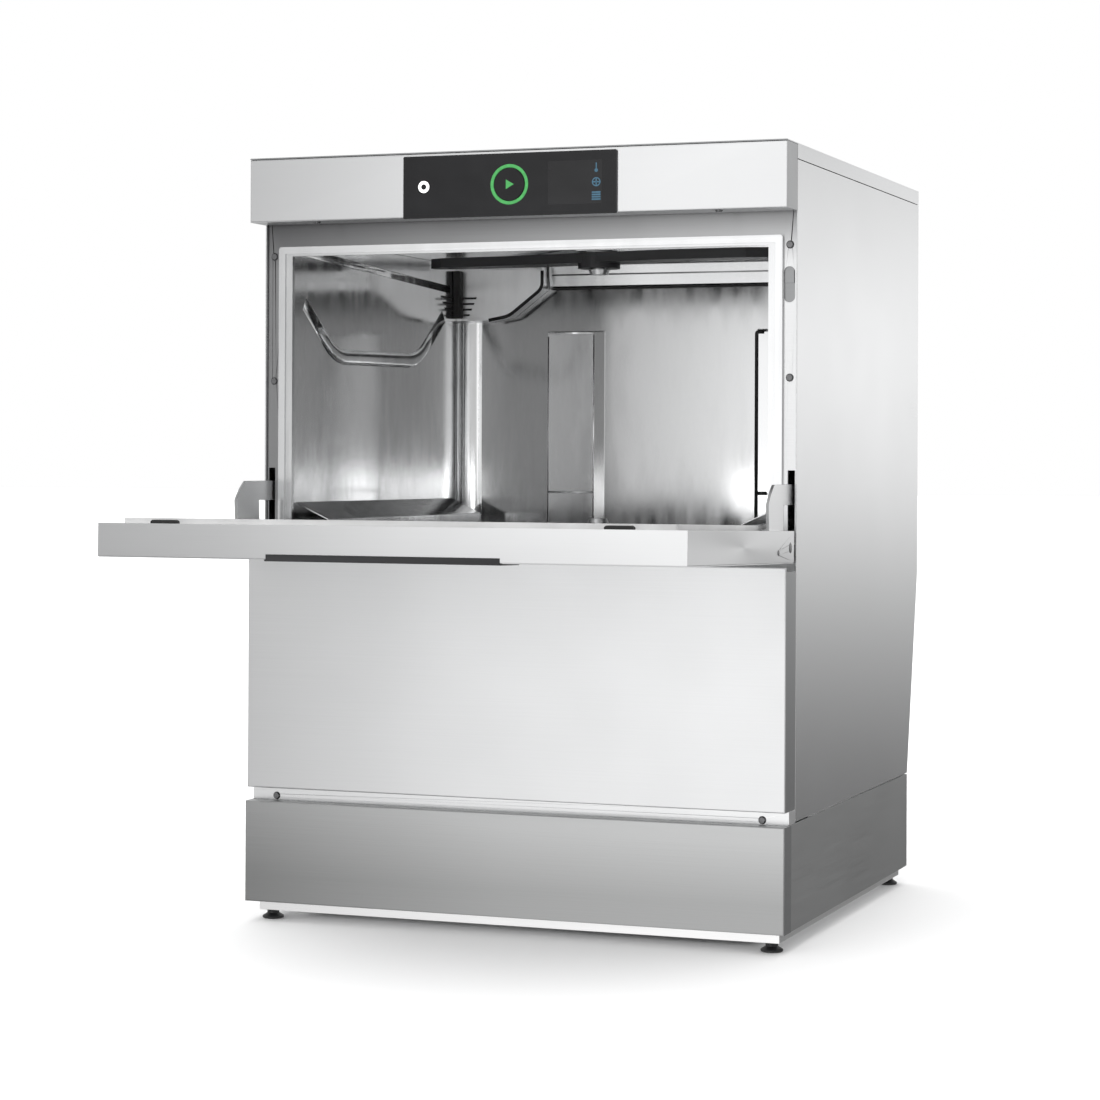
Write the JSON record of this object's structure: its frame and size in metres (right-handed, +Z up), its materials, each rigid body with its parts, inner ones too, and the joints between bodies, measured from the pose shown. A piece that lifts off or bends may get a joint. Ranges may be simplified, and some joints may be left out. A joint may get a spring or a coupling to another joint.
{
  "type": "undercounter commercial dishwasher",
  "caption": "Free-standing undercounter commercial dishwasher with a drop-down door, spray arms above and below the rack space, and a glass control panel.",
  "frame": {"origin": "middle of the footprint of the machine with its door open, on the floor", "axes": "+Z up, +Y from the door side to the rear, +X to the right as seen from the front"},
  "size_m": [0.601, 0.8983, 0.82],
  "materials": {
    "brushed_panel": "brushed",
    "polished_liner": "polished",
    "bare_steel": "satin",
    "fastener_steel": "polished",
    "black_glass": "gloss",
    "green_light": "gloss",
    "button_black": "gloss",
    "display_screen": "gloss",
    "circuit_board": "satin",
    "black_plastic": "matte",
    "black_rubber": "matte",
    "motor_casing": "satin",
    "grey_plastic": "satin",
    "brass_fitting": "satin"
  },
  "bodies": {
    "case": {"base_frame": "bare_steel", "base_front_panel": "brushed_panel", "base_rear_panel": "brushed_panel", "base_side_left": "brushed_panel", "base_side_right": "brushed_panel", "booster_heater": "bare_steel", "cable_gland": "black_plastic", "case_screws": "fastener_steel", "chamber_back_wall": "polished_liner", "chamber_ceiling": "polished_liner", "chamber_corners": "polished_liner", "chamber_left_wall": "polished_liner", "chamber_right_wall": "polished_liner", "control_board": "circuit_board", "control_glass": "black_glass", "display_module": "display_screen", "door_frame": "bare_steel", "door_springs": "fastener_steel", "dosing_pumps": "grey_plastic", "drain_pump": "motor_casing", "drain_spigot": "grey_plastic", "header_panel": "brushed_panel", "hinge_brackets": "bare_steel", "inlet_valve": "brass_fitting", "latch_catch": "bare_steel", "lower_arm_spindle": "bare_steel", "lower_front_panel": "brushed_panel", "lower_front_rail": "bare_steel", "opening_profile": "polished_liner", "rack_rails": "polished_liner", "rear_panel": "brushed_panel", "rinse_pump": "motor_casing", "side_panel_left": "brushed_panel", "side_panel_right": "brushed_panel", "start_ring_light": "green_light", "strainer_basket": "polished_liner", "strainer_plate": "polished_liner", "supply_duct": "polished_liner", "tank_heater": "bare_steel", "terminal_box": "black_plastic", "top_cover": "brushed_panel", "upper_arm_spindle": "bare_steel", "wash_hoses": "black_rubber", "wash_pump": "motor_casing", "wash_tank": "polished_liner"},
    "door": {"door_outer_skin": "brushed_panel", "door_inner_skin": "polished_liner", "door_gasket": "black_rubber", "door_grip": "black_plastic", "door_arms": "bare_steel", "hinge_pins": "fastener_steel", "door_screws": "fastener_steel"},
    "start_button": {"start_button": "button_black"},
    "power_button": {"power_button": "button_black"},
    "upper_spray_arm": {"upper_spray_arm": "black_plastic"},
    "lower_spray_arm": {"lower_spray_arm": "black_plastic"},
    "foot_front_left": {"foot_front_left": "black_plastic"},
    "foot_front_right": {"foot_front_right": "black_plastic"},
    "foot_rear_left": {"foot_rear_left": "black_plastic"},
    "foot_rear_right": {"foot_rear_right": "black_plastic"}
  },
  "joints": [
    {"name": "door_hinge", "type": "hinge", "parent": "case", "child": "door", "pos_m": [0, -0.10986, 0.409], "axis": [-1, 0, 0], "range_deg": [0, 88.7], "deforming": ["door_springs"]},
    {"name": "start_push", "type": "slide", "parent": "case", "child": "start_button", "axis": [0, 1, 0], "range_m": [0, 0.0012], "stiffness_N_per_m": 500},
    {"name": "power_push", "type": "slide", "parent": "case", "child": "power_button", "axis": [0, 1, 0], "range_m": [0, 0.0012], "stiffness_N_per_m": 400},
    {"name": "upper_arm_spin", "type": "hinge", "parent": "case", "child": "upper_spray_arm", "pos_m": [0, 0.15414, 0.725], "axis": [0, 0, 1], "continuous": true},
    {"name": "lower_arm_spin", "type": "hinge", "parent": "case", "child": "lower_spray_arm", "pos_m": [0, 0.15414, 0.414], "axis": [0, 0, 1], "continuous": true},
    {"name": "foot_front_left_height", "type": "slide", "parent": "case", "child": "foot_front_left", "axis": [0, 0, -1], "range_m": [0, 0.025]},
    {"name": "foot_front_right_height", "type": "slide", "parent": "case", "child": "foot_front_right", "axis": [0, 0, -1], "range_m": [0, 0.025]},
    {"name": "foot_rear_left_height", "type": "slide", "parent": "case", "child": "foot_rear_left", "axis": [0, 0, -1], "range_m": [0, 0.025]},
    {"name": "foot_rear_right_height", "type": "slide", "parent": "case", "child": "foot_rear_right", "axis": [0, 0, -1], "range_m": [0, 0.025]}
  ]
}
